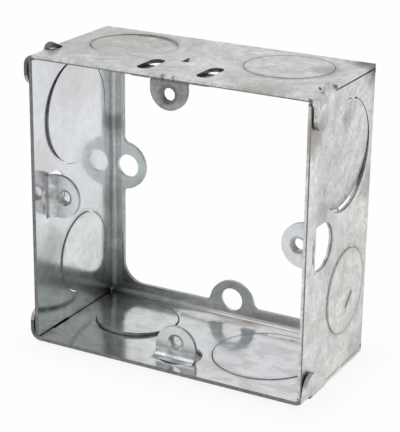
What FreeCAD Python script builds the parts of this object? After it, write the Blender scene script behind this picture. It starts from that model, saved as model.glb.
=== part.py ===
import FreeCAD
import Part

import math
import os

from FreeCAD import Vector

# Extension back box: a folded, galvanised sheet ring with a rear flange, and one lug bracket.
# Millimetres. X runs across the box, Y from the open front to the rear, Z up.
# Each function builds in the box's own centred frame: X = 0 and Z = 0 on the middle line of the
# opening, Y = 0 on the front edge. place() moves a finished piece to the row's origin, which is
# the middle of the floor under the box.

# Box
width = 70.0
height = 70.0
depth = 35.0
sheet = 0.9
rear_bend_inside = 1.0
flange_width = 4.0
opening_corner = 5.5

# Screw holes of the front lugs, from the outer faces, and the rear ears
hole_inset = 4.85
ear_hole_inset = 5.3
ear_hole = 5.9
ear_round_inset = 4.2
ear_radius = 6.0
ear_blend = 1.5

# Corner seams between the side walls and the upper and lower walls
upper_seam_gap = 0.35
lower_seam_gap = 0.15
seam_stop = 1.7
seam_relief = 0.6

# Corner straps: ends of the upper and lower walls, wrapped onto the side walls. The close strap
# hugs the wall at its bend and leans out at its end.
strap_width = 5.7
strap_reach = 7.4
strap_gap = 0.4
strap_bend_inside = 1.7
strap_clearance = 0.2
close_strap_gap = 0.06
close_strap_lean = 6

# Lower corner tabs: ends of the side walls, folded flat under the lower wall as feet
tab_front = 6.1
tab_width = 6.8
tab_reach = 3.8
tab_lift = 0.1
tab_bend_inside = 0.3
tab_clearance = 0.15

# Upper corner tabs: folded about lines that rise to the front, the left one curled right over
upper_tab_front = 6.3
upper_tab_bend_inside = 0.7
upper_tab_corner = 0.8
upper_tab_notch = 2.5
upper_tab_notch_slant = 1.8
lean_width = 6.1
lean_lift = -0.05
lean_slope = 16
lean_angle = 38
lean_tip = 0.9
curl_width = 3.7
curl_lift = 0.3
curl_slope = 24
curl_angle = 105
curl_tip = 0.3

# Lugs lanced out of three walls
lug_width = 10.4
lug_bend_start = 3.9
lug_bend_inside = 2.2
lug_end_before_hole = 1.2
screw_core = 2.9
funnel_mouth = 4.1
funnel_depth = 0.3
collar_diameter = 4.4
collar_height = 0.8
lance_side_gap = 0.15
lance_hole_rear = 13.5
lance_corner = 0.7

# Knockouts: margins run from the rear face, offsets from the wall's middle line
large_knockout = 25.6
small_knockout = 20.5
right_margin = 3.3
left_margin = 4.4
bottom_margin = 4.3
end_margin = 3.9
pried_margin = 2.8
large_offset = 17.7
small_offset = 19.0
upper_offset = 19.8
pried_offset = 15.3
knockout_ring = 0.27
tag_width = 2.2
torn_tag_width = 8.0
tag_thickness = 0.6
tag_hold = 0.6

# Mark of a screwdriver across the right wall's small disc
pry_length = 4.9
pry_width = 1.2
pry_depth = 0.3
pry_across = 18.1
pry_along = 23.9
pry_angle = 131

# Upper wall: two slots, two nicks in the front edge and the dimple that locates the bracket
slot_offset = 7.4
slot_width = 3.5
slot_front = 2.8
slot_rear = 11.8
nick_depth = 1.1
nick_wide_centre = -0.42
nick_wide = 0.95
nick_narrow_centre = 2.2
nick_narrow = 0.6
dimple_left = -2.8
dimple_right = 2.9
dimple_along = 14.4
dimple_half_width = 2.1
dimple_drop = 0.7

# Lug bracket under the upper wall
bracket_offset = -0.15
bracket_seat_gap = 0.02
plate_width = 20.4
plate_front = 2.5
plate_rear = 9.5
plate_corner = 1.2
bracket_lug_width = 9.2
bracket_lug_front = 2.3
bracket_lug_bend_inside = 0.5
bracket_end_before_hole = 1.05
bracket_funnel_mouth = 4.4
bend_relief = 0.4
tail_width = 8.4
tail_rear = 18.2
tail_corner = 1.5
window_clearance = 0.25
window_side_clearance = 0.55

# Sizes that follow from the ones above
half_width = width / 2
half_height = height / 2
rear_bend_outside = rear_bend_inside + sheet
foot_height = tab_lift + sheet
seam_end = depth - seam_stop
tab_rear = tab_front + tab_width
past = 2.0

# Turn about the Y axis that carries the upper wall's frame onto each wall
WALL_TURN = {"top": 0, "right": 90, "bottom": 180, "left": 270}


def block(x_low, x_high, y_low, y_high, z_low, z_high):
    """Box between two corners."""
    corner = Vector(x_low, y_low, z_low)
    return Part.makeBox(x_high - x_low, y_high - y_low, z_high - z_low, corner)


def quarter_bend(inside, x_low, x_high, y_centre, z_centre, y_sign, z_sign):
    """Quarter of a sheet bend about an X line, in the quadrant that the two signs give."""
    outside = inside + sheet
    start = Vector(x_low, y_centre, z_centre)
    along = Vector(1, 0, 0)
    ring = Part.makeCylinder(outside, x_high - x_low, start, along)
    ring = ring.cut(Part.makeCylinder(inside, x_high - x_low, start, along))
    y_far = y_centre + y_sign * outside
    z_far = z_centre + z_sign * outside
    quadrant = block(x_low, x_high, min(y_centre, y_far), max(y_centre, y_far),
                     min(z_centre, z_far), max(z_centre, z_far))
    return ring.common(quadrant)


def corner_bend(inside, x_centre, z_centre, y_low, y_high):
    """Quarter of a sheet bend about a Y line, in the quadrant towards +X and +Z."""
    outside = inside + sheet
    start = Vector(x_centre, y_low, z_centre)
    along = Vector(0, 1, 0)
    ring = Part.makeCylinder(outside, y_high - y_low, start, along)
    ring = ring.cut(Part.makeCylinder(inside, y_high - y_low, start, along))
    quadrant = block(x_centre, x_centre + outside, y_low, y_high, z_centre, z_centre + outside)
    return ring.common(quadrant)


def outer_reach(wall):
    """Distance from the middle line to a wall's outer face."""
    if wall in ("top", "bottom"):
        return half_height
    return half_width


def onto_wall(shape, wall):
    """Carry a shape from a wall's own frame into the box frame.

    In the wall's frame X runs across the wall, Y is the box's Y, and Z points out of the box
    with Z = 0 on the wall's inner face.
    """
    shape = shape.copy()
    shape.translate(Vector(0, 0, outer_reach(wall) - sheet))
    shape.rotate(Vector(0, 0, 0), Vector(0, 1, 0), WALL_TURN[wall])
    return shape


def mirrored_left(shape):
    """Copy of a right-hand shape on the left side of the box."""
    return shape.mirror(Vector(0, 0, 0), Vector(1, 0, 0))


def mirrored_down(shape):
    """Copy of an upper shape on the lower side of the box."""
    return shape.mirror(Vector(0, 0, 0), Vector(0, 0, 1))


def in_upper_corners(shape):
    """An upper right corner shape and its copy in the upper left corner."""
    return [shape, mirrored_left(shape)]


def in_lower_corners(shape):
    """Copies of an upper right corner shape in the two lower corners of the box."""
    return in_upper_corners(mirrored_down(shape))


def strap_corners(strap, close_strap):
    """One shape per corner: the close strap is the lower right one."""
    return [strap, mirrored_left(strap), mirrored_left(mirrored_down(strap)), mirrored_down(close_strap)]


def edges_along_y(shape, wanted):
    """Straight edges that run along Y and whose X and Z the test accepts."""
    found = []
    for edge in shape.Edges:
        first = edge.firstVertex().Point
        last = edge.lastVertex().Point
        straight = abs(first.x - last.x) < 1e-6 and abs(first.z - last.z) < 1e-6
        if straight and wanted(first.x, first.z):
            found.append(edge)
    return found


def edges_at_y(shape, y_level):
    """Edges that lie in one plane across the box."""
    return [edge for edge in shape.Edges
            if all(abs(vertex.Y - y_level) < 1e-6 for vertex in edge.Vertexes)]


def folded_walls():
    """Four walls and a closed rear plate with its bends."""
    outer = block(-half_width, half_width, 0, depth, -half_height, half_height)
    outer = outer.makeFillet(rear_bend_outside, edges_at_y(outer, depth))
    inner_x = half_width - sheet
    inner_z = half_height - sheet
    inner = block(-inner_x, inner_x, -past, depth - sheet, -inner_z, inner_z)
    inner = inner.makeFillet(rear_bend_inside, edges_at_y(inner, depth - sheet))
    return outer.cut(inner)


def rear_round(wall, inset, radius):
    """Cylinder through the rear plate at a distance from one wall's outer face."""
    start = Vector(0, depth - sheet - past, sheet - inset)
    return onto_wall(Part.makeCylinder(radius, sheet + 2 * past, start, Vector(0, 1, 0)), wall)


def rear_opening():
    """What is cut from the rear plate: a rounded square that leaves the four ears."""
    x_edge = half_width - flange_width
    z_edge = half_height - flange_width
    opening = block(-x_edge, x_edge, depth - sheet - past, depth + past, -z_edge, z_edge)
    corners = edges_along_y(opening, lambda x, z: True)
    opening = opening.makeFillet(opening_corner, corners)
    opening = opening.cut([rear_round(wall, ear_round_inset, ear_radius) for wall in WALL_TURN])

    def beside_ear(x, z):
        on_upper = abs(abs(z) - z_edge) < 1e-4 and abs(x) < ear_radius + 1e-4
        on_side = abs(abs(x) - x_edge) < 1e-4 and abs(z) < ear_radius + 1e-4
        return on_upper or on_side

    return opening.makeFillet(ear_blend, edges_along_y(opening, beside_ear))


def seam_cut(gap):
    """Slit between the upper wall and the right wall, with its relief hole at the rear."""
    top = half_height - sheet
    slit = block(half_width - sheet - past, half_width + past, -past, seam_end, top - gap, top)
    relief_start = Vector(half_width - sheet - past, seam_end, top - seam_relief)
    relief = Part.makeCylinder(seam_relief, sheet + 2 * past, relief_start, Vector(1, 0, 0))
    return slit.fuse(relief)


class Strap:
    """Upper right corner strap: the end of the upper wall, wrapped onto the right wall's outside."""

    def __init__(self, gap, lean=0):
        self.gap = gap
        self.lean = lean
        self.x_bend = half_width + gap - strap_bend_inside
        self.z_bend = half_height - sheet - strap_bend_inside

    def room(self):
        """The upper wall's square end and the side wall's top corner, which make way for the bend."""
        top = half_height - sheet
        rear = strap_width + strap_clearance
        x_far = half_width + past
        wall_end = block(self.x_bend, x_far, -past, strap_width, self.z_bend, half_height + past)
        corner = block(self.x_bend, x_far, -past, rear, self.z_bend, top)
        kept = Part.makeCylinder(strap_bend_inside - strap_clearance, rear + past,
                                 Vector(self.x_bend, -past, self.z_bend), Vector(0, 1, 0))
        return wall_end.fuse(corner).cut(kept)

    def shape(self):
        """Bend, straight leg and round end. A leg that leans is bent by less than a right angle."""
        centre = Vector(self.x_bend, 0, self.z_bend)
        along = Vector(0, 1, 0)
        bend = corner_bend(strap_bend_inside, self.x_bend, self.z_bend, 0, strap_width)
        inner_x = half_width + self.gap
        end_radius = strap_width / 2
        z_end = half_height - strap_reach + end_radius
        leg = block(inner_x, inner_x + sheet, 0, strap_width, z_end, self.z_bend)
        round_end = Part.makeCylinder(end_radius, sheet, Vector(inner_x, end_radius, z_end), Vector(1, 0, 0))
        leg = leg.fuse(round_end)
        if self.lean == 0:
            return bend.fuse(leg)
        leg.rotate(centre, along, -self.lean)
        reach = 2 * (strap_bend_inside + sheet)
        unbent = block(self.x_bend, self.x_bend + reach, -past, strap_width + past,
                       self.z_bend - reach, self.z_bend)
        unbent.rotate(centre, along, -self.lean)
        return bend.cut(unbent).fuse(leg)


def tab_bend_x():
    """X of the line about which a corner tab is bent."""
    return half_width - sheet - tab_bend_inside


def tab_notch():
    """Notch in the upper wall's edge that a flat tab's riser passes."""
    return block(tab_bend_x() - tab_clearance, half_width + past,
                 tab_front - tab_clearance, tab_rear + tab_clearance,
                 half_height - sheet - lower_seam_gap, half_height + past)


def riser_foot():
    """Level inside the side wall at which a corner tab's riser starts."""
    return half_height - sheet - upper_seam_gap - sheet


def tab():
    """Flat corner tab: riser, bend and round flap over the upper wall."""
    z_bend = half_height + tab_lift - tab_bend_inside
    riser = block(half_width - sheet, half_width, tab_front, tab_rear, riser_foot(), z_bend)
    bend = corner_bend(tab_bend_inside, tab_bend_x(), z_bend, tab_front, tab_rear)
    tip_x = half_width - tab_reach
    half_tab = tab_width / 2
    rise = tab_bend_x() - tip_x
    flap_radius = (half_tab ** 2 + rise ** 2) / (2 * rise)
    z_low = half_height + tab_lift
    flap = Part.makeCylinder(flap_radius, sheet, Vector(tip_x + flap_radius, tab_front + half_tab, z_low))
    flap = flap.common(block(tip_x - past, tab_bend_x(), tab_front, tab_rear, z_low, z_low + sheet))
    return riser.fuse([bend, flap])


class UpperTab:
    """Upper right corner tab, folded about a line that rises to the front."""

    def __init__(self, width, lift, slope, angle, tip):
        self.width = width
        self.z_front = half_height + lift
        self.slope = slope
        self.angle = angle
        self.tip = tip

    def room(self):
        """Notch for the tab in the upper wall, and the top of the side wall that the tab replaces."""
        front = upper_tab_front
        rear = front + self.width
        x_deep = half_width - upper_tab_notch
        z_low = half_height - sheet
        corners = [(half_width + past, front - tab_clearance),
                   (half_width - sheet - tab_clearance, front - tab_clearance),
                   (x_deep, front + upper_tab_notch_slant),
                   (x_deep, rear + tab_clearance), (half_width + past, rear + tab_clearance)]
        points = [Vector(x, y, z_low) for x, y in corners]
        notch = Part.Face(Part.makePolygon(points + points[:1])).extrude(Vector(0, 0, sheet + past))
        seat = block(half_width - sheet - past, half_width + past, front, rear, riser_foot(), z_low)
        return notch.fuse(seat)

    def riser(self):
        """Part in the side wall's plane, up to the sloping fold line."""
        rear = upper_tab_front + self.width
        drop = self.width * math.tan(math.radians(self.slope))
        corners = [(upper_tab_front, riser_foot()), (rear, riser_foot()),
                   (rear, self.z_front - drop), (upper_tab_front, self.z_front)]
        points = [Vector(half_width - sheet, y, z) for y, z in corners]
        face = Part.Face(Part.makePolygon(points + points[:1]))
        return face.extrude(Vector(sheet, 0, 0))

    def fold(self):
        """Bend and straight tip, built along Z and then laid along the fold line."""
        inside = upper_tab_bend_inside
        outside = inside + sheet
        length = self.width / math.cos(math.radians(self.slope))
        along = Vector(0, 0, 1)
        bend = Part.makeCylinder(outside, length, Vector(0, 0, 0), along, self.angle)
        bend = bend.cut(Part.makeCylinder(inside, length))
        tip = Part.makeBox(sheet, self.tip, length, Vector(inside, 0, 0))
        far_corners = [edge for edge in tip.Edges
                       if all(abs(vertex.Y - self.tip) < 1e-6 for vertex in edge.Vertexes)
                       and abs(edge.firstVertex().X - edge.lastVertex().X) > sheet / 2]
        tip = tip.makeFillet(min(upper_tab_corner, 0.9 * self.tip), far_corners)
        tip.rotate(Vector(0, 0, 0), along, self.angle)
        folded = bend.fuse(tip)
        folded.rotate(Vector(0, 0, 0), Vector(1, 0, 0), 90)
        folded.translate(Vector(0, length, 0))
        folded.rotate(Vector(0, 0, 0), Vector(1, 0, 0), -self.slope)
        folded.translate(Vector(half_width - outside, upper_tab_front, self.z_front))
        return folded

    def shape(self):
        return self.riser().fuse(self.fold())


def lance_hole():
    """D-shaped hole that a lanced lug leaves, in the wall's frame."""
    half_hole = lug_width / 2 + lance_side_gap
    round_centre = lance_hole_rear - half_hole
    straight = block(-half_hole, half_hole, lug_bend_start, round_centre, -past / 2, sheet + past)
    front_corners = []
    for edge in straight.Edges:
        first = edge.firstVertex().Point
        last = edge.lastVertex().Point
        if abs(first.z - last.z) > sheet and abs(first.y - lug_bend_start) < 1e-6:
            front_corners.append(edge)
    straight = straight.makeFillet(lance_corner, front_corners)
    round_end = Part.makeCylinder(half_hole, sheet + 1.5 * past, Vector(0, round_centre, -past / 2))
    return straight.fuse(round_end)


def screw_hole(front, mouth):
    """Funnel and core hole of a lug, along Y through the fixing point of a wall's frame."""
    z_hole = sheet - hole_inset
    core = Part.makeCylinder(screw_core / 2, sheet + collar_height + 2 * past,
                             Vector(0, front - past, z_hole), Vector(0, 1, 0))
    funnel = Part.makeCone(mouth / 2, screw_core / 2, funnel_depth,
                           Vector(0, front, z_hole), Vector(0, 1, 0))
    return core.fuse(funnel)


def screw_collar(front):
    """Raised collar on the rear of a lug that gives the thread its length."""
    return Part.makeCylinder(collar_diameter / 2, sheet + collar_height,
                             Vector(0, front, sheet - hole_inset), Vector(0, 1, 0))


def lug_flat(front, half_lug, end_before_hole, z_bend):
    """Flat of a lug, from its bend to the round end past the screw hole."""
    z_end = sheet - hole_inset + end_before_hole
    round_end = Part.makeCylinder(half_lug, sheet, Vector(0, front, z_end), Vector(0, 1, 0))
    flat = round_end.fuse(block(-half_lug, half_lug, front, front + sheet, z_end, half_lug))
    past_bend = block(-half_lug, half_lug, front, front + sheet, z_end - half_lug, z_bend)
    return flat.common(past_bend)


def lanced_lug():
    """Lug bent inwards from a wall: wide bend, flat with a round end, and its screw hole."""
    half_lug = lug_width / 2
    z_bend = -lug_bend_inside
    bend = quarter_bend(lug_bend_inside, -half_lug, half_lug, lug_bend_start, z_bend, 1, 1)
    front = lug_bend_start + lug_bend_inside
    flat = lug_flat(front, half_lug, lug_end_before_hole, z_bend)
    lug = bend.fuse([flat, screw_collar(front)])
    return lug.cut(screw_hole(front, funnel_mouth))


class Knockout:
    """One knockout disc: where it is on its wall, how it hangs on its tag and how far it is pushed."""

    def __init__(self, wall, diameter, across, margin, tag_angle, pushed, tag=tag_width):
        self.wall = wall
        self.radius = diameter / 2
        self.centre = Vector(across, depth - margin - diameter / 2, 0)
        self.towards_tag = Vector(math.cos(math.radians(tag_angle)), math.sin(math.radians(tag_angle)), 0)
        self.pushed = pushed
        self.tag = tag

    def hole(self):
        start = self.centre - Vector(0, 0, past / 2)
        return onto_wall(Part.makeCylinder(self.radius, sheet + past, start), self.wall)

    def disc(self):
        """Disc swung about its tag, by the distance that its far side is pushed inwards."""
        disc_radius = self.radius - knockout_ring
        disc = Part.makeCylinder(disc_radius, sheet, self.centre)
        hinge = self.centre + self.towards_tag * (self.radius - knockout_ring / 2)
        hinge = hinge + Vector(0, 0, sheet / 2)
        hinge_line = Vector(-self.towards_tag.y, self.towards_tag.x, 0)
        swing = math.degrees(math.asin(self.pushed / (2 * disc_radius)))
        disc.rotate(hinge, hinge_line, -swing)
        return onto_wall(disc, self.wall)

    def tag_bridge(self):
        """Thinned bridge that still joins the disc to the wall."""
        low = (sheet - tag_thickness) / 2
        start = self.centre + Vector(0, 0, low)
        outer = Part.makeCylinder(self.radius + tag_hold, tag_thickness, start)
        inner = Part.makeCylinder(self.radius - knockout_ring - tag_hold, tag_thickness, start)
        band = outer.cut(inner)
        gate = block(0, self.radius + 2 * tag_hold, -self.tag / 2, self.tag / 2, low, low + tag_thickness)
        turn = math.degrees(math.atan2(self.towards_tag.y, self.towards_tag.x))
        gate.rotate(Vector(0, 0, 0), Vector(0, 0, 1), turn)
        gate.translate(self.centre)
        return onto_wall(band.common(gate), self.wall)


def knockouts():
    """The eight discs. The tag's angle is counted from across the wall towards the rear."""
    return [
        Knockout("right", large_knockout, -large_offset, right_margin, 138, 1.7, torn_tag_width),
        Knockout("right", small_knockout, pried_offset, pried_margin, 70, -0.3),
        Knockout("left", large_knockout, large_offset, left_margin, 60, 0.65),
        Knockout("left", small_knockout, -small_offset, left_margin, 90, 0.3),
        Knockout("bottom", small_knockout, small_offset, end_margin, 95, 0.9),
        Knockout("bottom", large_knockout, -large_offset, bottom_margin, 80, 0.2),
        Knockout("top", small_knockout, -upper_offset, end_margin, 200, 0.6),
        Knockout("top", small_knockout, upper_offset, end_margin, 100, -0.12),
    ]


def pry_mark():
    """Shallow groove with round ends that a screwdriver left in the right wall's small disc."""
    half_width_of_mark = pry_width / 2
    half_straight = pry_length / 2 - half_width_of_mark
    low = sheet - pry_depth
    mark = block(-half_straight, half_straight, -half_width_of_mark, half_width_of_mark,
                 low, sheet + past)
    ends = [Part.makeCylinder(half_width_of_mark, pry_depth + past, Vector(x_end, 0, low))
            for x_end in (-half_straight, half_straight)]
    mark = mark.fuse(ends)
    mark.rotate(Vector(0, 0, 0), Vector(0, 0, 1), pry_angle)
    mark.translate(Vector(pry_across, pry_along, 0))
    return onto_wall(mark, "right")


def dimple_punch(grown):
    """Punch that presses the upper wall's dimple, grown by a distance, in that wall's frame.

    It is deepest at the dimple's left end, which is sheared, and runs out at the right end.
    """
    length = dimple_right - dimple_left
    slope = math.degrees(math.atan2(dimple_drop, length))
    radius = (dimple_half_width ** 2 + dimple_drop ** 2) / (2 * dimple_drop)
    deepest = Vector(dimple_left, dimple_along, sheet - dimple_drop)
    start = deepest + Vector(-past, 0, radius)
    punch = Part.makeCylinder(radius + grown, length + 2 * past, start, Vector(1, 0, 0))
    punch.rotate(deepest, Vector(0, 1, 0), -slope)
    return punch


def dimple_space(z_high):
    """Space to the right of the dimple's sheared end, up to a level in the upper wall's frame."""
    half_space = 2 * dimple_half_width
    return block(dimple_left, dimple_right + past, dimple_along - half_space,
                 dimple_along + half_space, -past, z_high)


def dimple_hollow():
    """What the dimple takes from the upper wall's outer side."""
    return onto_wall(dimple_punch(0).common(dimple_space(sheet + past)), "top")


def dimple_boss():
    """Sheet that the dimple pushes out of the upper wall's inner side."""
    skin = dimple_punch(sheet).common(dimple_space(sheet / 2))
    return onto_wall(skin.cut(dimple_punch(0)), "top")


def upper_wall_cuts():
    """Slots and edge nicks of the upper wall, placed in the box frame."""
    low = -past / 2
    high = sheet + past / 2
    end_radius = slot_width / 2
    cuts = []
    for centre in (-slot_offset, slot_offset):
        cuts.append(block(centre - end_radius, centre + end_radius,
                          slot_front + end_radius, slot_rear - end_radius, low, high))
        for y_end in (slot_front + end_radius, slot_rear - end_radius):
            cuts.append(Part.makeCylinder(end_radius, high - low, Vector(centre, y_end, low)))
    for centre, wide in ((nick_wide_centre, nick_wide), (nick_narrow_centre, nick_narrow)):
        cuts.append(block(centre - wide / 2, centre + wide / 2, -past, nick_depth, low, high))
    return [onto_wall(cut, "top") for cut in cuts]


def box_shell():
    """The folded sheet, as one solid."""
    discs = knockouts()
    lugged_walls = ("right", "bottom", "left")
    leaning = UpperTab(lean_width, lean_lift, lean_slope, lean_angle, lean_tip)
    curled = UpperTab(curl_width, curl_lift, curl_slope, curl_angle, curl_tip)
    strap = Strap(strap_gap)
    close_strap = Strap(close_strap_gap, close_strap_lean)
    cuts = [rear_opening()] + upper_wall_cuts()
    cuts += [rear_round(wall, ear_hole_inset, ear_hole / 2) for wall in WALL_TURN]
    cuts += in_upper_corners(seam_cut(upper_seam_gap)) + in_lower_corners(seam_cut(lower_seam_gap))
    cuts += strap_corners(strap.room(), close_strap.room())
    cuts += in_lower_corners(tab_notch()) + [leaning.room(), mirrored_left(curled.room())]
    cuts += [onto_wall(lance_hole(), wall) for wall in lugged_walls]
    cuts += [knockout.hole() for knockout in discs]
    shell = folded_walls().cut(cuts)
    added = strap_corners(strap.shape(), close_strap.shape())
    added += in_lower_corners(tab()) + [leaning.shape(), mirrored_left(curled.shape())]
    added += [onto_wall(lanced_lug(), wall) for wall in lugged_walls]
    for knockout in discs:
        added.append(knockout.disc())
        added.append(knockout.tag_bridge())
    shell = shell.fuse(added).cut([pry_mark(), dimple_hollow()])
    return shell.fuse(dimple_boss()).removeSplitter()


def bracket_plate(top):
    """Flat plate under the upper wall, with rounded corners."""
    plate = block(-plate_width / 2, plate_width / 2, plate_front, plate_rear, top - sheet, top)
    upright = [edge for edge in plate.Edges
               if abs(edge.firstVertex().Z - edge.lastVertex().Z) > sheet / 2]
    return plate.makeFillet(plate_corner, upright)


def bracket_lug(top):
    """Lug at the front of the plate, bent down, with its round end."""
    half_lug = bracket_lug_width / 2
    y_bend = bracket_lug_front + sheet + bracket_lug_bend_inside
    z_bend = top - sheet - bracket_lug_bend_inside
    bend = quarter_bend(bracket_lug_bend_inside, -half_lug, half_lug, y_bend, z_bend, -1, 1)
    return bend.fuse(lug_flat(bracket_lug_front, half_lug, bracket_end_before_hole, z_bend))


def bracket_tail(top):
    """Tail that runs back from the plate, with a window in which the wall's dimple locks."""
    half_tail = tail_width / 2
    tail = block(-half_tail, half_tail, plate_rear - plate_corner, tail_rear, top - sheet, top)
    rear_corners = [edge for edge in tail.Edges
                    if abs(edge.firstVertex().Z - edge.lastVertex().Z) > sheet / 2
                    and abs(edge.firstVertex().Y - tail_rear) < 1e-6]
    tail = tail.makeFillet(tail_corner, rear_corners)
    window_half = dimple_half_width + window_side_clearance
    window = block(dimple_left - window_clearance - bracket_offset,
                   dimple_right + window_clearance - bracket_offset,
                   dimple_along - window_half, dimple_along + window_half, top - sheet - past, top + past)
    return tail.cut(window)


def lug_bracket():
    """The upper lug's bracket, as one solid."""
    top = -bracket_seat_gap
    half_lug = bracket_lug_width / 2
    y_bend = bracket_lug_front + sheet + bracket_lug_bend_inside
    plate = bracket_plate(top)
    bend_room = block(-half_lug - bend_relief, half_lug + bend_relief, plate_front - past, y_bend,
                      top - sheet - past / 2, top + past / 2)
    plate = plate.cut(bend_room)
    bracket = plate.fuse([bracket_lug(top), bracket_tail(top)])
    bracket = bracket.cut(screw_hole(bracket_lug_front, bracket_funnel_mouth)).removeSplitter()
    bracket.translate(Vector(bracket_offset, 0, 0))
    return onto_wall(bracket, "top")


def place(shape):
    """Move a piece from the box's centred frame to the row's origin."""
    shape = shape.copy()
    shape.translate(Vector(0, -depth / 2, half_height + foot_height))
    return shape


PIECES = {
    "box_shell": box_shell,
    "lug_bracket": lug_bracket,
}

os.makedirs("parts", exist_ok=True)
for name, build in PIECES.items():
    piece = place(build())
    if len(piece.Solids) == 1:
        piece = piece.Solids[0]
    piece.exportStep(os.path.join("parts", name + ".step"))
    box = piece.BoundBox
    print(name, "solids", len(piece.Solids), "valid", piece.isValid(), "volume", round(piece.Volume, 2))
    print("  x", round(box.XMin, 3), round(box.XMax, 3), "y", round(box.YMin, 3), round(box.YMax, 3),
          "z", round(box.ZMin, 3), round(box.ZMax, 3))
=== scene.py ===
import math

import bpy
from mathutils import Matrix, Vector


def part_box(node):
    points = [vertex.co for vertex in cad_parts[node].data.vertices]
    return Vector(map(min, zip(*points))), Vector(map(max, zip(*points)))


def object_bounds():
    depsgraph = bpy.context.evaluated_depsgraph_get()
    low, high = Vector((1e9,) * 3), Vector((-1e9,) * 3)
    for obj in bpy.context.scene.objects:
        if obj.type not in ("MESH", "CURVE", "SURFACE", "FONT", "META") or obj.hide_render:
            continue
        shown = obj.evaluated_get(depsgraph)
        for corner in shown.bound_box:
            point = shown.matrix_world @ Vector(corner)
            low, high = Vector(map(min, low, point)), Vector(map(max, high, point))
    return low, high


# Extension back box: looks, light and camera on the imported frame. Metres, the frame's own axes.
# Sizes in millimetres are multiplied by MM where they are used.
MM = 0.001

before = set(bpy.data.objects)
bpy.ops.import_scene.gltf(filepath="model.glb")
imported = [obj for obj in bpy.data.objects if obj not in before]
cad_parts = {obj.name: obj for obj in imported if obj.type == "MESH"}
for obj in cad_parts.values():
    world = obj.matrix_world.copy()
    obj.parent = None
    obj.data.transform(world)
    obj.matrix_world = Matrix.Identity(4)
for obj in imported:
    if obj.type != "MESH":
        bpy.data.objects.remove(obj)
cad_low, cad_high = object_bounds()
shell_low, shell_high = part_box("box_shell")

# Sizes of the box, read from the frame or repeated from the model
sheet = 0.9 * MM
width = 70 * MM
foot = 1.0 * MM
front_y = shell_low.y
rear_y = shell_high.y
box_depth = rear_y - front_y
half_width = width / 2
middle_z = shell_low.z + foot + half_width
lug_front = 6.1 * MM
bracket_rear = 3.2 * MM
lug_hole_place = half_width - 4.85 * MM

# Bounds between the box's surfaces, for the masks of its metal: depths from the front edge, and
# distances from the middle of the box or of a wall
hair = 0.03 * MM
inner_face = half_width - sheet - hair
outer_face = half_width + hair
flange_face = box_depth - sheet - hair
wall_start = half_width - 2 * sheet
clear_of_walls = half_width - 3 * MM
bend_start = 32.4 * MM
bend_zone = half_width - 3.4 * MM
nick_end = 1.3 * MM
nick_zone = 4 * MM
lug_root_end = 8.5 * MM
lug_root_width = 5.6 * MM
lug_zone = 8 * MM
corner_zone = 33 * MM
deepest_disc = half_width - 2.8 * MM

# A face stands edge-on to an axis where less than this share of its normal lies along it
edge_on = 0.5

# Knockouts that are only scored: two radii, then each centre's depth and place along its wall
small_ring = 10.25 * MM
large_ring = 12.8 * MM
right_ring = (21.95 * MM, -15.3 * MM)
left_ring = (20.35 * MM, -19.0 * MM)
upper_ring = (20.85 * MM, 19.8 * MM)
lower_ring = (17.9 * MM, 17.7 * MM)


def grey(value, tint=(1.0, 1.0, 1.0)):
    """Grey with a slight tint, as a colour."""
    return (value * tint[0], value * tint[1], value * tint[2], 1.0)


OUTSIDE_WARM = grey(0.7, (1.01, 1.0, 0.97))
OUTSIDE_COOL = grey(0.7, (0.985, 1.0, 1.015))
INSIDE_ZINC = grey(0.75, (0.965, 0.99, 1.03))
INSIDE_GREEN = grey(0.75, (0.94, 1.0, 0.985))
# Pale zinc for the painted sheen on the lower rear bend
SHEEN_ZINC = grey(0.8)
SHEEN_ZINC_WARM = grey(0.66, (1.05, 1.0, 0.96))
# Dark grey painted on the curled tab at the upper left, a painted shade
CURLED_TAB_SHADE = grey(0.13)
CUT_STEEL = grey(0.33, (1.0, 0.99, 0.99))
# Grime of dots, veins and stains, also the colour of painted shade in gaps, corners and under the upper
# wall
GRIME_AND_SHADE = grey(0.09, (1.05, 1.0, 0.93))
# Brownish stain, also the colour of painted shade on the upper wall's left half
STAIN_AND_SHADE = grey(0.3, (1.12, 1.0, 0.82))
# Greenish oxide, also the colour of a painted reflection on the left wall under its lug
OXIDE_AND_SHADE = grey(0.27, (0.95, 1.0, 0.93))
BRACKET_DARK = grey(0.2, (1.0, 0.99, 1.03))
BRACKET_PALE = grey(0.42, (1.0, 0.99, 1.03))
# Dark grey of the bracket's round edge, a painted shade
BRACKET_EDGE_SHADE = grey(0.16)

# Shades of the bare steel on the cut edges, which multiply its colour. The light ones are partly painted
# light: highlights on the front edges and on the D-shaped holes' inner rims, and light faces in the
# narrow scored rings, nicks and pry mark where shade would fall. The left strap's and the slots' dark
# ones are painted shade.
FRONT_SHADE = 0.7
LEFT_STRAP_SHADE = 0.45
LIT_AND_WORN_SHADE = 2.2
LEFT_RING_SHADE = 1.2
HOLE_SHADE = 1.4
SLOT_SHADE = 0.5
INNER_RIM_SHADE = 2.8
OUTER_RIM_SHADE = 1.0
LUG_RIM_SHADE = 2.6

# Roughness of the shell: ranges for its two sides, then single values
ROUGH_INSIDE = (0.11, 0.2)
ROUGH_OUTSIDE = (0.38, 0.56)
ROUGH_LUG_ROOT = 0.36
ROUGH_REAR_BEND = 0.42
ROUGH_SHEEN_BEND = 0.32
ROUGH_CUT = 0.45
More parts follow.
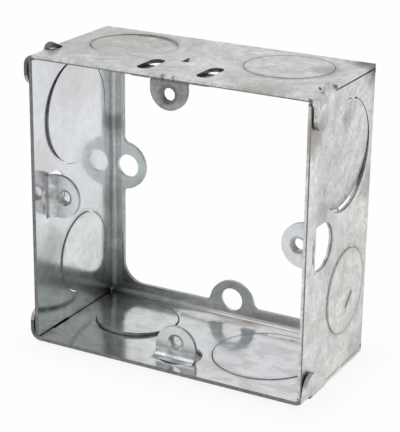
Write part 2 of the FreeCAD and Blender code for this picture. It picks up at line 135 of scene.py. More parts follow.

# Stains of the shell, some of them painted shade, laid on in this order: a point given by x, depth and
# height over the middle, and a radius, all in millimetres, then a strength and a colour
PRY_MARK = (35, 23.9, -18.1)
STAINS = [
    # Lower left rear corner, wide and faint, then narrow and dark: painted shade of the corner
    ((-34, 33, -35), 17, 0.42, GRIME_AND_SHADE),
    ((-34, 33, -35), 5, 0.75, GRIME_AND_SHADE),
    # Left wall under its lug, darker as a painted reflection of the lug
    ((-34, 6, -13), 8, 0.55, OXIDE_AND_SHADE),
    # Left half of the upper wall, darker as painted shade
    ((-26, 20, 35), 26, 0.3, STAIN_AND_SHADE),
    # Left rear bend, over and under the middle
    ((-33, 34.5, 10.5), 4, 0.7, OXIDE_AND_SHADE),
    ((-34, 32, -9), 6, 0.3, OXIDE_AND_SHADE),
    # Left wall's front over its lug
    ((-34, 2.5, 9), 9, 0.22, STAIN_AND_SHADE),
    # Mark across the right wall's lower knockout
    (PRY_MARK, 3.2, 0.3, STAIN_AND_SHADE),
    # Upper right rear corner
    ((34, 33, 35.5), 7, 0.85, GRIME_AND_SHADE),
    # Right wall's upper front corner
    ((35.5, 1.5, 27), 7, 0.75, STAIN_AND_SHADE),
    # Right wall's lower rear corner, darker as painted shade
    ((35, 29, -33), 8, 0.3, GRIME_AND_SHADE),
    # Right wall round its upper knockout, at its rear and beside its lug
    ((35, 20, 26), 4.5, 0.4, GRIME_AND_SHADE),
    ((35, 11, 11), 4, 0.25, GRIME_AND_SHADE),
    ((35, 32, 8), 6, 0.35, GRIME_AND_SHADE),
    ((35, 8, 8), 5, 0.3, GRIME_AND_SHADE),
    # Upper wall's right end, and its front edge there
    ((28, 22, 35), 5, 0.35, GRIME_AND_SHADE),
    ((22, 0.3, 35), 10, 0.5, STAIN_AND_SHADE),
]


# Camera

CAMERA_AZIMUTH = 28.41
CAMERA_ELEVATION = 20.09
CAMERA_ROLL = 0.78
CAMERA_DISTANCE = 352.7 * MM
CAMERA_SIDE = -0.19 * MM
CAMERA_LIFT = -2.33 * MM
CAMERA_LENS = 137.4


def make_camera():
    """Camera at the photograph's viewing angle, aimed at the middle of the box."""
    azimuth = math.radians(CAMERA_AZIMUTH)
    elevation = math.radians(CAMERA_ELEVATION)
    roll = math.radians(CAMERA_ROLL)
    back = Vector((math.sin(azimuth) * math.cos(elevation),
                   -math.cos(azimuth) * math.cos(elevation),
                   math.sin(elevation)))
    level = (-back).cross(Vector((0, 0, 1))).normalized()
    upward = level.cross(-back)
    side = level * math.cos(roll) + upward * math.sin(roll)
    lift = upward * math.cos(roll) - level * math.sin(roll)
    middle = Vector((0, (front_y + rear_y) / 2, middle_z))
    place = middle + back * CAMERA_DISTANCE + side * CAMERA_SIDE + lift * CAMERA_LIFT
    data = bpy.data.cameras.new("camera")
    data.sensor_fit = "HORIZONTAL"
    data.sensor_width = 36
    data.lens = CAMERA_LENS
    data.clip_start = 0.01
    data.clip_end = 20
    camera = bpy.data.objects.new("camera", data)
    bpy.context.scene.collection.objects.link(camera)
    turn = Matrix((side, lift, back)).transposed().to_4x4()
    camera.matrix_world = Matrix.Translation(place) @ turn
    bpy.context.scene.camera = camera


# Node helpers

# Sockets for colours of the mix node, which has others of the same names for numbers
MIX_LOW = 6
MIX_HIGH = 7
MIX_RESULT = 2

# Range in which most values of a noise lie
NOISE_LOW = 0.3
NOISE_HIGH = 0.7


class Nodes:
    """A node tree with short calls for the nodes used here. Values are numbers or sockets."""

    def __init__(self, tree):
        self.tree = tree
        tree.nodes.clear()

    def add(self, kind, inputs=None, **settings):
        """New node with its settings, and with its inputs given by name or number."""
        node = self.tree.nodes.new(kind)
        for name, value in settings.items():
            setattr(node, name, value)
        for name, value in (inputs or {}).items():
            self.feed(node.inputs[name], value)
        return node

    def feed(self, socket, value):
        if isinstance(value, bpy.types.NodeSocket):
            self.tree.links.new(value, socket)
        else:
            socket.default_value = value

    def math(self, operation, first, second=0.0, clamp=False):
        node = self.add("ShaderNodeMath", {0: first, 1: second}, operation=operation, use_clamp=clamp)
        return node.outputs[0]

    def vector(self, operation, first, second=(0, 0, 0)):
        """Outputs of an operation on vectors."""
        node = self.add("ShaderNodeVectorMath", {0: first, 1: second}, operation=operation)
        return node.outputs

    def parts(self, vector):
        """Outputs X, Y and Z of a vector."""
        return self.add("ShaderNodeSeparateXYZ", {"Vector": vector}).outputs

    def chain(self, operation, values):
        """One operation from each value to the next."""
        result = values[0]
        for value in values[1:]:
            result = self.math(operation, result, value)
        return result

    def plus(self, *values):
        return self.chain("ADD", values)

    def times(self, *values):
        return self.chain("MULTIPLY", values)

    def minus(self, first, second):
        return self.math("SUBTRACT", first, second)

    def unsigned(self, value):
        """Value without its sign."""
        return self.math("ABSOLUTE", value)

    def distance(self, across, along):
        """Straight distance, from its two legs at right angles."""
        return self.math("SQRT", self.plus(self.times(across, across), self.times(along, along)))

    def over(self, value, limit):
        """1 where the value is over a limit."""
        return self.math("GREATER_THAN", value, limit)

    def under(self, value, limit):
        """1 where the value is under a limit."""
        return self.math("LESS_THAN", value, limit)

    def all_of(self, *masks):
        """1 where all the masks are 1."""
        return self.chain("MULTIPLY", masks)

    def any_of(self, *masks):
        """1 where one of the masks is 1."""
        return self.chain("MAXIMUM", masks)

    def span(self, value, low, high, to_low=0.0, to_high=1.0, smooth=False):
        """Range from low to high spread over the range from to_low to to_high, held at both ends."""
        node = self.add("ShaderNodeMapRange",
                        {"Value": value, "From Min": low, "From Max": high,
                         "To Min": to_low, "To Max": to_high},
                        clamp=True, interpolation_type="SMOOTHSTEP" if smooth else "LINEAR")
        return node.outputs["Result"]

    def spread(self, noise, to_low, to_high):
        """Noise spread over a range of its own."""
        return self.span(noise, NOISE_LOW, NOISE_HIGH, to_low, to_high)

    def choose(self, mask, without, within):
        """One value where the mask is 0 and the other where it is 1."""
        return self.span(mask, 0, 1, without, within)

    def mix(self, amount, low, high):
        """Colour between two others."""
        node = self.add("ShaderNodeMix", {"Factor": amount, MIX_LOW: low, MIX_HIGH: high},
                        data_type="RGBA", blend_type="MIX")
        return node.outputs[MIX_RESULT]

    def lay(self, colour, coat, mask, strength):
        """Colour with a coat laid over it where the mask is 1, at the given strength."""
        return self.mix(self.times(mask, strength), colour, coat)

    def shade(self, colour, amount):
        """Colour multiplied by a grey amount."""
        node = self.add("ShaderNodeVectorMath", {0: colour, "Scale": amount}, operation="SCALE")
        return node.outputs[0]


def new_material(name):
    """Material without nodes yet, and the calls that fill it."""
    material = bpy.data.materials.new(name)
    material.use_nodes = True
    return material, Nodes(material.node_tree)


# Looks of the box, from the place and facing of each shaded point

class Surface:
    """Where a shaded point is on the box: its place, its facing and the masks made from them."""

    def __init__(self, nodes):
        self.nodes = nodes
        coordinates = nodes.add("ShaderNodeTexCoord")
        self.place = coordinates.outputs["Object"]
        self.normal = coordinates.outputs["Normal"]
        place = nodes.parts(self.place)
        normal = nodes.parts(self.normal)
        self.x = place["X"]
        self.depth = nodes.minus(place["Y"], front_y)
        self.up = nodes.minus(place["Z"], middle_z)
        self.side = nodes.unsigned(self.x)
        self.level = nodes.unsigned(self.up)
        self.sideways = nodes.unsigned(normal["X"])
        self.endways = nodes.unsigned(normal["Y"])
        self.upright = nodes.unsigned(normal["Z"])

    def noise(self, size, offset, detail=4, rough=0.6, stretch=(1, 1, 1), distortion=0.0):
        """Noise whose features are about size metres wide."""
        scale = [axis / size for axis in stretch]
        mapping = self.nodes.add("ShaderNodeMapping",
                                 {"Vector": self.place, "Scale": scale, "Location": offset})
        noise = self.nodes.add("ShaderNodeTexNoise",
                               {"Vector": mapping.outputs[0], "Scale": 1.0, "Detail": detail,
                                "Roughness": rough, "Distortion": distortion})
        return noise.outputs["Fac"]

    def rounded_normal(self):
        """Normal that turns softly over the sheet's sharp edges."""
        return self.nodes.add("ShaderNodeBevel", {"Radius": 0.1 * MM}, samples=4).outputs[0]

    def near_point(self, point, full, reach):
        """1 about a point of the front view, given by x and height over the middle."""
        nodes = self.nodes
        away = nodes.distance(nodes.minus(self.x, point[0]), nodes.minus(self.up, point[1]))
        return nodes.span(away, full, reach, 1, 0)

    def stain(self, middle, radius):
        """Soft uneven patch about a point, given by x, depth and height over the middle in mm."""
        nodes = self.nodes
        centre = (middle[0] * MM, middle[1] * MM + front_y, middle[2] * MM + middle_z)
        away = nodes.vector("DISTANCE", self.place, centre)["Value"]
        uneven = self.noise(radius * MM / 3, (1.1, 4.4, 2.9))
        reach = nodes.spread(uneven, 0.7 * radius * MM, 1.25 * radius * MM)
        nearness = nodes.math("SUBTRACT", 1.0, nodes.math("DIVIDE", away, reach), clamp=True)
        return nodes.span(nearness, 0, 0.8, smooth=True)

    def crevice(self, reach):
        """1 deep in gaps, seams and corners, 0 in the open."""
        nodes = self.nodes
        open_part = nodes.add("ShaderNodeAmbientOcclusion", {"Distance": reach}, samples=6)
        return nodes.span(open_part.outputs["AO"], 0.85, 0.15)


class Shell(Surface):
    """The galvanised shell: its masks, and the colours and shades made from them."""

    def __init__(self, nodes):
        super().__init__(nodes)
        self.clouds = self.noise(12 * MM, (0.4, 3.1, 7.7), distortion=0.6)
        self.patches = self.noise(4.2 * MM, (2.0, 0.4, 1.3), rough=0.57, distortion=0.8)
        self.specks = self.noise(0.7 * MM, (5.0, 1.0, 0.4), detail=3)
        self.mottle = self.noise(2.4 * MM, (6.2, 2.7, 9.4), rough=0.66, distortion=0.6)
        self.outside = self.facing_out()
        self.inside = nodes.under(self.outside, 0.5)
        self.cut = self.cut_edge()
        self.flange = nodes.over(self.depth, bend_start + sheet)
        self.rear_bend = nodes.all_of(nodes.over(self.depth, bend_start),
                                      nodes.over(nodes.any_of(self.side, self.level), bend_zone))
        self.lug_roots = nodes.all_of(self.root_places(), self.inside)
        self.sheen_bend = self.sheen_lower_bend()
        self.scored = self.scored_rings(0.7 * MM)
        self.nicks = nodes.all_of(nodes.over(self.up, inner_face), nodes.under(self.side, nick_zone),
                                  nodes.over(self.depth, hair), nodes.under(self.depth, nick_end))
        self.pry_mark = nodes.span(self.stain(PRY_MARK, 5), 0, 0.6)

    def facing_out(self):
        """1 on surfaces that face away from the middle of the box, 0 on those that face it."""
        nodes = self.nodes
        away = nodes.add("ShaderNodeCombineXYZ", {"X": self.x, "Z": self.up}).outputs[0]
        away = nodes.vector("NORMALIZE", away)[0]
        facing = nodes.vector("DOT_PRODUCT", away, self.normal)["Value"]
        return nodes.span(facing, -0.1, 0.3)

    def in_wall(self, across, along, facing):
        """Cut faces of a wall's sheet and of its discs, which stand between its two sides."""
        nodes = self.nodes
        sheet_cut = nodes.over(across, inner_face)
        disc_cut = nodes.all_of(nodes.over(across, deepest_disc), nodes.over(along, lug_zone))
        return nodes.all_of(nodes.under(facing, edge_on), nodes.any_of(sheet_cut, disc_cut),
                            nodes.under(along, corner_zone), nodes.under(self.depth, bend_start))

    def cut_edge(self):
        """1 on the sheet's cut edges, where the zinc coat is missing."""
        nodes = self.nodes
        lug_sheet = nodes.all_of(nodes.over(self.depth, lug_front - hair),
                                 nodes.under(self.depth, lug_front + sheet + hair))
        flange_sheet = nodes.over(self.depth, flange_face)
        in_flat = nodes.all_of(nodes.under(self.side, clear_of_walls),
                               nodes.under(self.level, clear_of_walls),
                               nodes.under(self.endways, edge_on),
                               nodes.any_of(lug_sheet, flange_sheet))
        return nodes.any_of(self.in_wall(self.side, self.level, self.sideways),
                            self.in_wall(self.level, self.side, self.upright),
                            nodes.under(self.depth, hair), in_flat)

    def near_ring(self, along, ring, radius, reach):
        """1 on a knockout's round cut and fading to 0 at the given reach on both sides of it."""
        nodes = self.nodes
        away = nodes.distance(nodes.minus(self.depth, ring[0]), nodes.minus(along, ring[1]))
        off_cut = nodes.unsigned(nodes.minus(away, radius))
        return nodes.span(off_cut, 0.35 * reach, reach, 1, 0)

    def scored_rings(self, reach):
        """1 along the knockouts that still sit flush in their walls."""
        nodes = self.nodes
        right = nodes.times(self.near_ring(self.up, right_ring, small_ring, reach),
                            nodes.over(self.x, wall_start))
        left = nodes.times(self.near_ring(self.up, left_ring, small_ring, reach),
                           nodes.under(self.x, -wall_start))
        upper = nodes.times(self.near_ring(self.side, upper_ring, small_ring, reach),
                            nodes.over(self.up, wall_start))
        lower = nodes.times(self.near_ring(self.x, lower_ring, large_ring, reach),
                            nodes.under(self.up, -wall_start))
        return nodes.any_of(right, left, upper, lower)

    def root_places(self):
        """1 where the lugs bend out of their walls, and on the wall in front of them."""
        nodes = self.nodes
        at_root = nodes.under(self.depth, lug_root_end)
        beside = nodes.all_of(nodes.span(self.side, half_width - 4.6 * MM, half_width - 3.2 * MM),
                              nodes.under(self.side, inner_face),
                              nodes.under(self.level, lug_root_width), at_root)
        below = nodes.all_of(nodes.span(self.up, 3.6 * MM - half_width, 2.6 * MM - half_width),
                             nodes.under(self.side, lug_root_width), at_root,
                             nodes.over(self.depth, 3.5 * MM))
        return nodes.any_of(beside, below)

    def sheen_lower_bend(self):
        """1 where the lower wall rises to the rear flange inside, where a pale sheen is painted, fading
        out towards the left.
        """
        nodes = self.nodes
        uneven_depth = nodes.plus(self.depth, nodes.spread(self.mottle, -0.6 * MM, 0.6 * MM))
        return nodes.all_of(nodes.under(self.up, 4 * MM - half_width),
                            nodes.span(self.x, -19 * MM, -2 * MM),
                            nodes.span(uneven_depth, 28.4 * MM, 31.4 * MM),
                            nodes.under(self.depth, flange_face), self.inside)

    def cloudiness(self):
        """Sum of the noises that make the zinc lighter and darker."""
        nodes = self.nodes
        crystals = nodes.add("ShaderNodeTexVoronoi", {"Vector": self.place, "Scale": 1 / (2.6 * MM)})
        crystals = nodes.add("ShaderNodeSeparateColor", {"Color": crystals.outputs["Color"]})
        streaks = self.noise(2.2 * MM, (1.7, 8.2, 2.2), stretch=(1, 0.12, 1))
        return nodes.plus(nodes.times(self.clouds, 0.37), nodes.times(self.patches, 0.46),
                          nodes.times(self.specks, 0.07), nodes.times(crystals.outputs[0], 0.05),
                          nodes.times(streaks, 0.05))

    def outer_zinc(self, cloudy):
        """Zinc outside: warm and cool clouds, small flecks, and painted light that makes the right wall
        lighter, most at its front.
        """
        nodes = self.nodes
        tint = nodes.plus(self.noise(24 * MM, (7.7, 5.3, 1.9), detail=2, rough=0.5),
                          nodes.times(self.up, 4.0))
        outer = nodes.mix(nodes.span(tint, 0.38, 0.62), OUTSIDE_WARM, OUTSIDE_COOL)
        flecks = self.noise(1.5 * MM, (2.8, 9.9, 6.1), rough=0.65, distortion=0.7)
        on_right = nodes.over(self.x, half_width - 1 * MM)
        right_painted_light = nodes.span(self.depth, 0, 8 * MM, 1.12, 1.04)
        outer_shade = nodes.times(nodes.span(cloudy, 0.38, 0.6, 0.76, 1.18),
                                  nodes.span(flecks, 0.36, 0.6, 0.88, 1.05),
                                  nodes.choose(on_right, 1.0, right_painted_light))
        return nodes.shade(outer, outer_shade)

    def inner_zinc(self, cloudy):
        """Zinc inside: cleaner, greenish low on the left and on the flange, and with painted light and
        shade on the lower flange, lighter at its left and darker at its right.
        """
        nodes = self.nodes
        low_left = nodes.all_of(nodes.span(self.up, 0, -18 * MM), nodes.span(self.x, 2 * MM, -15 * MM))
        inner = nodes.mix(nodes.any_of(low_left, self.flange), INSIDE_ZINC, INSIDE_GREEN)
        low_flange = nodes.all_of(self.flange, nodes.under(self.up, -20 * MM))
        flange_shade = nodes.span(self.x, -22 * MM, -4 * MM, 1.2, 0.88)
        inner_shade = nodes.times(nodes.span(cloudy, 0.37, 0.62, 0.88, 1.06),
                                  nodes.choose(low_flange, 1.0, flange_shade))
        return nodes.shade(inner, inner_shade)

    def smear(self, zinc):
        """Smears inside: brownish on the lower wall, greenish low on the left wall."""
        nodes = self.nodes
        smears = self.noise(6 * MM, (3.9, 0.2, 6.6), detail=5, rough=0.68, stretch=(0.7, 1, 1),
                            distortion=1.2)
        on_lower = nodes.all_of(nodes.under(self.up, -clear_of_walls), self.inside,
                                nodes.span(smears, 0.46, 0.62))
        zinc = nodes.lay(zinc, STAIN_AND_SHADE, on_lower, strength=0.36)
        on_left = nodes.all_of(nodes.under(self.x, -clear_of_walls), self.inside,
                               nodes.span(self.up, 4 * MM, -10 * MM), nodes.span(smears, 0.44, 0.6))
        return nodes.lay(zinc, OXIDE_AND_SHADE, on_left, strength=0.2)

    def wear_and_sheen(self, zinc):
        """Oxide at the bends and in the lugs' holes, and the pale band of painted sheen on the lower
        bend.
        """
        nodes = self.nodes
        bend_grime = nodes.times(self.rear_bend, nodes.choose(self.sheen_bend, 0.45, 0.1))
        grubby = nodes.all_of(nodes.any_of(self.lug_roots, bend_grime),
                              nodes.span(self.mottle, 0.4, 0.62, 0.0, 0.7))
        zinc = nodes.mix(grubby, zinc, OXIDE_AND_SHADE)
        # Painted sheen: a pale band on the lower rear bend
        sheen_patches = self.noise(3.5 * MM, (0.7, 6.3, 3.8), detail=3, stretch=(0.6, 1, 1),
                                  distortion=0.8)
        sheen_zinc = nodes.mix(nodes.span(sheen_patches, 0.4, 0.6), SHEEN_ZINC_WARM, SHEEN_ZINC)
        zinc = nodes.mix(self.sheen_bend, zinc, sheen_zinc)
        hole_places = [(0, -lug_hole_place), (-lug_hole_place, 0), (lug_hole_place, 0)]
        holes = nodes.any_of(*[self.near_point(point, 1.7 * MM, 2.3 * MM) for point in hole_places])
        in_lugs = nodes.all_of(holes, nodes.under(self.depth, lug_zone))
        return nodes.lay(zinc, OXIDE_AND_SHADE, in_lugs, strength=0.5)

    def speckle(self, zinc):
        """Dark dots and fine dark veins, stronger outside."""
        nodes = self.nodes
        dots = self.noise(1.0 * MM, (8.1, 3.3, 5.2), rough=0.7)
        dots = nodes.all_of(nodes.span(dots, 0.63, 0.7), nodes.span(self.patches, 0.42, 0.6),
                            nodes.plus(nodes.times(self.outside, 0.5), 0.12))
        zinc = nodes.mix(dots, zinc, GRIME_AND_SHADE)
        veins = self.noise(5 * MM, (9.1, 2.4, 4.0), stretch=(1, 1.4, 1), distortion=1.8)
        veins = nodes.all_of(nodes.span(nodes.unsigned(nodes.minus(veins, 0.5)), 0.0, 0.026, 1, 0),
                             nodes.span(self.clouds, 0.44, 0.56),
                             nodes.plus(nodes.times(self.outside, 0.26), 0.08))
        return nodes.mix(veins, zinc, GRIME_AND_SHADE)

    def front_edge_shade(self):
        """Shade of the front edges: dark, with painted shade darkest on the left strap, but for two
        light lines and the right strap, partly burnished steel and partly painted highlight.
        """
        nodes = self.nodes
        upper_line = nodes.all_of(nodes.span(self.up, half_width - 0.8 * sheet,
                                             half_width - 0.58 * sheet),
                                  nodes.under(self.side, half_width - sheet))
        right_line = nodes.all_of(nodes.over(self.x, inner_face),
                                  nodes.span(self.x, half_width - 0.25 * sheet,
                                             half_width - 0.45 * sheet),
                                  nodes.under(self.level, wall_start))
        right_strap = nodes.over(self.x, outer_face)
        left_strap = nodes.under(self.x, -outer_face)
        dark_edge = nodes.choose(left_strap, FRONT_SHADE, LEFT_STRAP_SHADE)
        return nodes.choose(nodes.any_of(upper_line, right_line, right_strap), dark_edge, LIT_AND_WORN_SHADE)

    def hole_edge_shade(self):
        """Shade of the edges in holes: painted highlight on the D-shaped holes' inner rims, painted
        shade in the slots.
        """
        nodes = self.nodes
        side_hole = nodes.all_of(nodes.over(self.side, inner_face), nodes.under(self.level, lug_zone))
        lower_hole = nodes.all_of(nodes.under(self.up, -inner_face), nodes.under(self.side, lug_zone))
        upper_hole = nodes.all_of(nodes.over(self.up, inner_face), nodes.over(self.depth, nick_end))
        rim = nodes.span(nodes.any_of(self.side, self.level), half_width - 0.6 * sheet,
                         half_width - 0.35 * sheet, INNER_RIM_SHADE, OUTER_RIM_SHADE)
        rim = nodes.choose(nodes.under(self.depth, lug_front), rim, LUG_RIM_SHADE)
        shade = nodes.choose(nodes.any_of(side_hole, lower_hole), HOLE_SHADE, rim)
        return nodes.choose(upper_hole, shade, SLOT_SHADE)

    def steel(self):
        """Bare steel of the cut edges, painted lighter in the narrow scored rings, nicks and pry mark
        where shade would fall.
        """
        nodes = self.nodes
        at_front = nodes.under(self.depth, hair)
        ring_shade = nodes.span(self.x, -half_width, 0, LEFT_RING_SHADE, LIT_AND_WORN_SHADE)
        shade = nodes.choose(at_front, self.hole_edge_shade(), self.front_edge_shade())
        # Painted light: cut faces lighter in the scored rings, nicks and pry mark
        shade = nodes.choose(self.scored, shade, ring_shade)
        shade = nodes.choose(self.nicks, shade, LIT_AND_WORN_SHADE)
        shade = nodes.choose(self.pry_mark, shade, LIT_AND_WORN_SHADE)
        uneven = nodes.spread(self.noise(1.1 * MM, (3.3, 6.1, 0.2)), 0.7, 1.25)
        return nodes.shade(CUT_STEEL[:3], nodes.times(uneven, shade))

    def crevice_dirt_and_shade(self):
        """How dark the gaps and corners are painted from their ambient occlusion, partly dirt and partly
        painted shade: less in the scored rings, the marks and the right root.
        """
        nodes = self.nodes
        crevice_dirt_and_shade = nodes.times(self.crevice(1.6 * MM), nodes.span(self.patches, 0.3, 0.6, 0.55, 0.9))
        right_root = nodes.all_of(nodes.over(self.x, wall_start),
                                  nodes.under(self.level, lug_zone), nodes.under(self.depth, lug_front))
        shallow = nodes.any_of(self.scored_rings(1.0 * MM), self.pry_mark, right_root, self.nicks)
        return nodes.times(crevice_dirt_and_shade, nodes.choose(shallow, 1.0, 0.12))

    def colour(self):
        """Zinc with its marks, steel on the cut edges, then stains, dirt and painted shade over both."""
        nodes = self.nodes
        cloudy = self.cloudiness()
        zinc = nodes.mix(self.outside, self.inner_zinc(cloudy), self.outer_zinc(cloudy))
        zinc = self.speckle(self.wear_and_sheen(self.smear(zinc)))
        # Zinc darker along the scored rings, a painted shade of their cuts
        zinc = nodes.shade(zinc, nodes.choose(self.scored_rings(1.1 * MM), 1.0, 0.86))
        colour = nodes.mix(self.cut, zinc, self.steel())
        # Curled tab at the upper left painted dark, a painted shade
        shaded_curled_tab = nodes.all_of(nodes.over(self.up, outer_face), nodes.under(self.x, -27 * MM),
                                  nodes.over(self.depth, 6 * MM))
        colour = nodes.lay(colour, CURLED_TAB_SHADE, shaded_curled_tab, strength=0.85)
        for middle, radius, strength, stain_colour in STAINS:
            colour = nodes.lay(colour, stain_colour, self.stain(middle, radius), strength)
        # Ambient occlusion painted dark: partly dirt, partly painted shade
        return nodes.mix(self.crevice_dirt_and_shade(), colour, GRIME_AND_SHADE)

    def roughness(self):
        """Glossy inside, dull outside and at the bends."""
        nodes = self.nodes
        rough = nodes.choose(self.outside, nodes.spread(self.patches, *ROUGH_INSIDE),
                             nodes.spread(self.patches, *ROUGH_OUTSIDE))
        rough = nodes.choose(self.lug_roots, rough, ROUGH_LUG_ROOT)
        rough = nodes.choose(self.rear_bend, rough, ROUGH_REAR_BEND)
        rough = nodes.choose(self.sheen_bend, rough, ROUGH_SHEEN_BEND)
        return nodes.choose(self.cut, rough, ROUGH_CUT)

    def metallic(self):
        """Metal, but dull in the cuts of the scored rings and in the nicks."""
        nodes = self.nodes
        dull_cuts = nodes.times(self.cut, nodes.any_of(self.scored, self.nicks))
        return nodes.choose(dull_cuts, 1.0, 0.2)

    def waves(self):
        """Height of the sheet's gentle waves, which fade at the rear bend."""
        nodes = self.nodes
        waves = nodes.plus(nodes.times(self.clouds, 0.55), nodes.times(self.specks, 0.04),
                           nodes.times(self.patches, self.outside, 0.12))
        return nodes.times(waves, nodes.choose(self.rear_bend, 1.0, 0.1))

    def rising_normal(self):
        """Rounded normal that also rises towards the front on the lower bend's band of painted sheen."""
        nodes = self.nodes
        rise = nodes.add("ShaderNodeCombineXYZ", {"Y": nodes.times(self.sheen_bend, -0.45)}).outputs[0]
        rising = nodes.vector("ADD", self.rounded_normal(), rise)[0]
        return nodes.vector("NORMALIZE", rising)[0]


# Materials

def finish_metal(nodes, normal, waves, look, strength, distance):
    """Metal with waves over its normal, as the material's surface."""
    bump = nodes.add("ShaderNodeBump", {"Height": waves, "Normal": normal,
                                        "Strength": strength, "Distance": distance})
    metal = nodes.add("ShaderNodeBsdfPrincipled", {**look, "Normal": bump.outputs[0]})
    nodes.add("ShaderNodeOutputMaterial", {"Surface": metal.outputs[0]})


def galvanised_shell():
    """Zinc-coated sheet: cloudy outside, cleaner inside, bare steel on its cut edges."""
    material, nodes = new_material("galvanised_shell")
    shell = Shell(nodes)
    look = {"Base Color": shell.colour(), "Metallic": shell.metallic(), "Roughness": shell.roughness()}
    finish_metal(nodes, shell.rising_normal(), shell.waves(), look, strength=0.3, distance=0.25 * MM)
    return material


def dark_bracket():
    """Darker zinc-plated sheet with fine mottling and grime round its hole, with painted shade under the
    upper wall, on its round edge and in its crevices.
    """
    material, nodes = new_material("dark_bracket")
    surface = Surface(nodes)
    patches = surface.noise(2.0 * MM, (4.9, 1.0, 1.3), detail=5, rough=0.62, distortion=0.5)
    specks = surface.noise(0.5 * MM, (5.0, 4.9, 0.4), detail=3)
    mottle = nodes.plus(nodes.times(patches, 0.75), nodes.times(specks, 0.25))
    colour = nodes.mix(nodes.span(mottle, 0.36, 0.64), BRACKET_DARK, BRACKET_PALE)
    hole_ring = surface.near_point((-0.15 * MM, lug_hole_place), 1.9 * MM, 2.7 * MM)
    colour = nodes.lay(colour, GRIME_AND_SHADE, hole_ring, strength=0.6)
    # Painted shade under the upper wall
    shade_under_wall = nodes.span(surface.up, half_width - 2.6 * MM, half_width - 1.2 * MM)
    colour = nodes.lay(colour, GRIME_AND_SHADE, shade_under_wall, strength=0.5)
    # Painted shade on the round edge, which faces away from the light
    shaded_round_edge = nodes.all_of(nodes.under(surface.depth, bracket_rear + hair),
                              nodes.under(surface.endways, edge_on))
    colour = nodes.lay(colour, BRACKET_EDGE_SHADE, shaded_round_edge, strength=0.6)
    # Painted shade in the crevices
    colour = nodes.lay(colour, GRIME_AND_SHADE, surface.crevice(1.2 * MM), strength=0.7)
    rough = nodes.spread(patches, 0.26, 0.42)
    look = {"Base Color": colour, "Metallic": 1.0, "Roughness": rough}
    finish_metal(nodes, surface.rounded_normal(), mottle, look, strength=0.25, distance=0.12 * MM)
    return material


def dress(node_name, material):
    """Give a node of the frame its material."""
    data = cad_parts[node_name].data
    data.materials.clear()
    data.materials.append(material)


# Floor, background and light

WHITE = (1, 1, 1, 1)
PAPER = (0.86, 0.86, 0.86, 1)
FLOOR_REACH = 3.0
PANEL_DIRECTION = (0.447, 0.826, 0.343)


def floor_glow(nodes):
    """How far the floor glows white to the camera and in the box's mirrored view of it, dimmer near the
    box and, in the mirrored view, in front of it and to its left: a painted shadow.
    """
    place = nodes.parts(nodes.add("ShaderNodeTexCoord").outputs["Object"])
    side = nodes.unsigned(place["X"])
    end = nodes.unsigned(place["Y"])
    away = nodes.distance(nodes.math("MAXIMUM", nodes.minus(side, half_width), 0.0),
                          nodes.math("MAXIMUM", nodes.minus(end, rear_y), 0.0))
    inset = nodes.math("MINIMUM", nodes.minus(half_width, side), nodes.minus(rear_y, end))
    seen = nodes.times(nodes.span(inset, 1.6 * MM, 3.0 * MM, 1, 0),
                       nodes.span(away, 0, 12 * MM, 0.9, 0.97, smooth=True))

    # Painted shadow: the mirrored glow dims in front of the box and to its left
    in_front = nodes.span(place["Y"], 5 * MM, -20 * MM, smooth=True)
    front_glow = nodes.times(nodes.span(away, 2 * MM, 60 * MM, 0.6, 0.82, smooth=True),
                             nodes.span(away, 75 * MM, 110 * MM, 1.0, 0.7, smooth=True),
                             nodes.span(place["X"], -25 * MM, -70 * MM, 1.0, 0.75, smooth=True))
    mirrored = nodes.times(nodes.over(away, 0.2 * MM), nodes.choose(in_front, 0.95, front_glow))

    path = nodes.add("ShaderNodeLightPath").outputs
    by_mirror = nodes.any_of(path["Is Glossy Ray"], path["Is Transmission Ray"])
    return nodes.any_of(nodes.times(path["Is Camera Ray"], seen), nodes.times(by_mirror, mirrored))


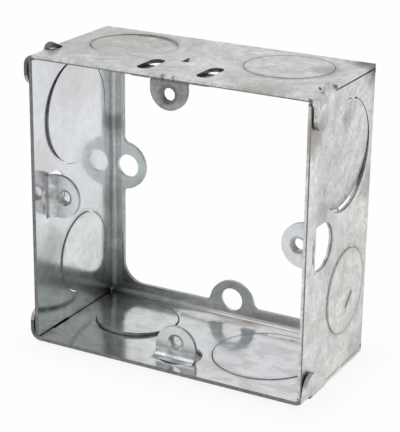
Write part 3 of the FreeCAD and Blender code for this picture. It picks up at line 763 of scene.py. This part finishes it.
def make_floor():
    """Plain pale floor that stays dark under the box and keeps a soft shadow round it, with a shadow
    also painted into its glow.
    """
    mesh = bpy.data.meshes.new("floor")
    corners = [(-FLOOR_REACH, -FLOOR_REACH, 0), (FLOOR_REACH, -FLOOR_REACH, 0),
               (FLOOR_REACH, FLOOR_REACH, 0), (-FLOOR_REACH, FLOOR_REACH, 0)]
    mesh.from_pydata(corners, [], [(0, 1, 2, 3)])
    floor = bpy.data.objects.new("floor", mesh)
    floor.location.z = cad_low.z
    bpy.context.scene.collection.objects.link(floor)
    material, nodes = new_material("floor")
    paper = nodes.add("ShaderNodeBsdfDiffuse", {"Color": PAPER}).outputs[0]
    glow = nodes.add("ShaderNodeEmission", {"Color": WHITE, "Strength": 1.0}).outputs[0]
    mixed = nodes.add("ShaderNodeMixShader", {"Fac": floor_glow(nodes), 1: paper, 2: glow})
    nodes.add("ShaderNodeOutputMaterial", {"Surface": mixed.outputs[0]})
    mesh.materials.append(material)


def make_world():
    """White surroundings, dim towards the open front of the studio and at a dark panel behind."""
    world = bpy.data.worlds.new("studio")
    bpy.context.scene.world = world
    world.use_nodes = True
    nodes = Nodes(world.node_tree)
    direction = nodes.add("ShaderNodeTexCoord").outputs["Generated"]
    parts = nodes.parts(direction)
    front_and_high = nodes.times(nodes.span(parts["Y"], 0.15, -0.5, smooth=True),
                                 nodes.span(parts["Z"], 0.0, 0.35, smooth=True))
    front_strength = nodes.span(parts["X"], 0.3, -0.3, 0.33, 0.55, smooth=True)
    towards_panel = nodes.vector("DOT_PRODUCT", direction, Vector(PANEL_DIRECTION).normalized())["Value"]
    strength = nodes.times(nodes.choose(front_and_high, 0.9, front_strength),
                           nodes.span(towards_panel, 0.82, 0.94, 1.0, 0.6, smooth=True))
    path = nodes.add("ShaderNodeLightPath").outputs
    strength = nodes.math("MAXIMUM", strength, path["Is Camera Ray"])
    background = nodes.add("ShaderNodeBackground", {"Color": WHITE, "Strength": strength})
    nodes.add("ShaderNodeOutputWorld", {"Surface": background.outputs[0]})


def make_lamp(name, place, size, power):
    """Soft square lamp that points at the middle of the box."""
    data = bpy.data.lights.new(name, "AREA")
    data.shape = "SQUARE"
    data.size = size
    data.energy = power
    lamp = bpy.data.objects.new(name, data)
    lamp.location = place
    lamp.rotation_mode = "QUATERNION"
    lamp.rotation_quaternion = (Vector((0, 0, middle_z)) - Vector(place)).to_track_quat("-Z", "Y")
    bpy.context.scene.collection.objects.link(lamp)


bpy.context.scene.view_settings.view_transform = "Standard"
make_camera()
make_world()
make_floor()
make_lamp("key_lamp", place=(-0.5, -0.5, 0.98), size=0.55, power=1.6)
make_lamp("side_lamp", place=(0.9, -0.1, 0.8), size=0.8, power=1.2)

dress("box_shell", galvanised_shell())
dress("lug_bracket", dark_bracket())
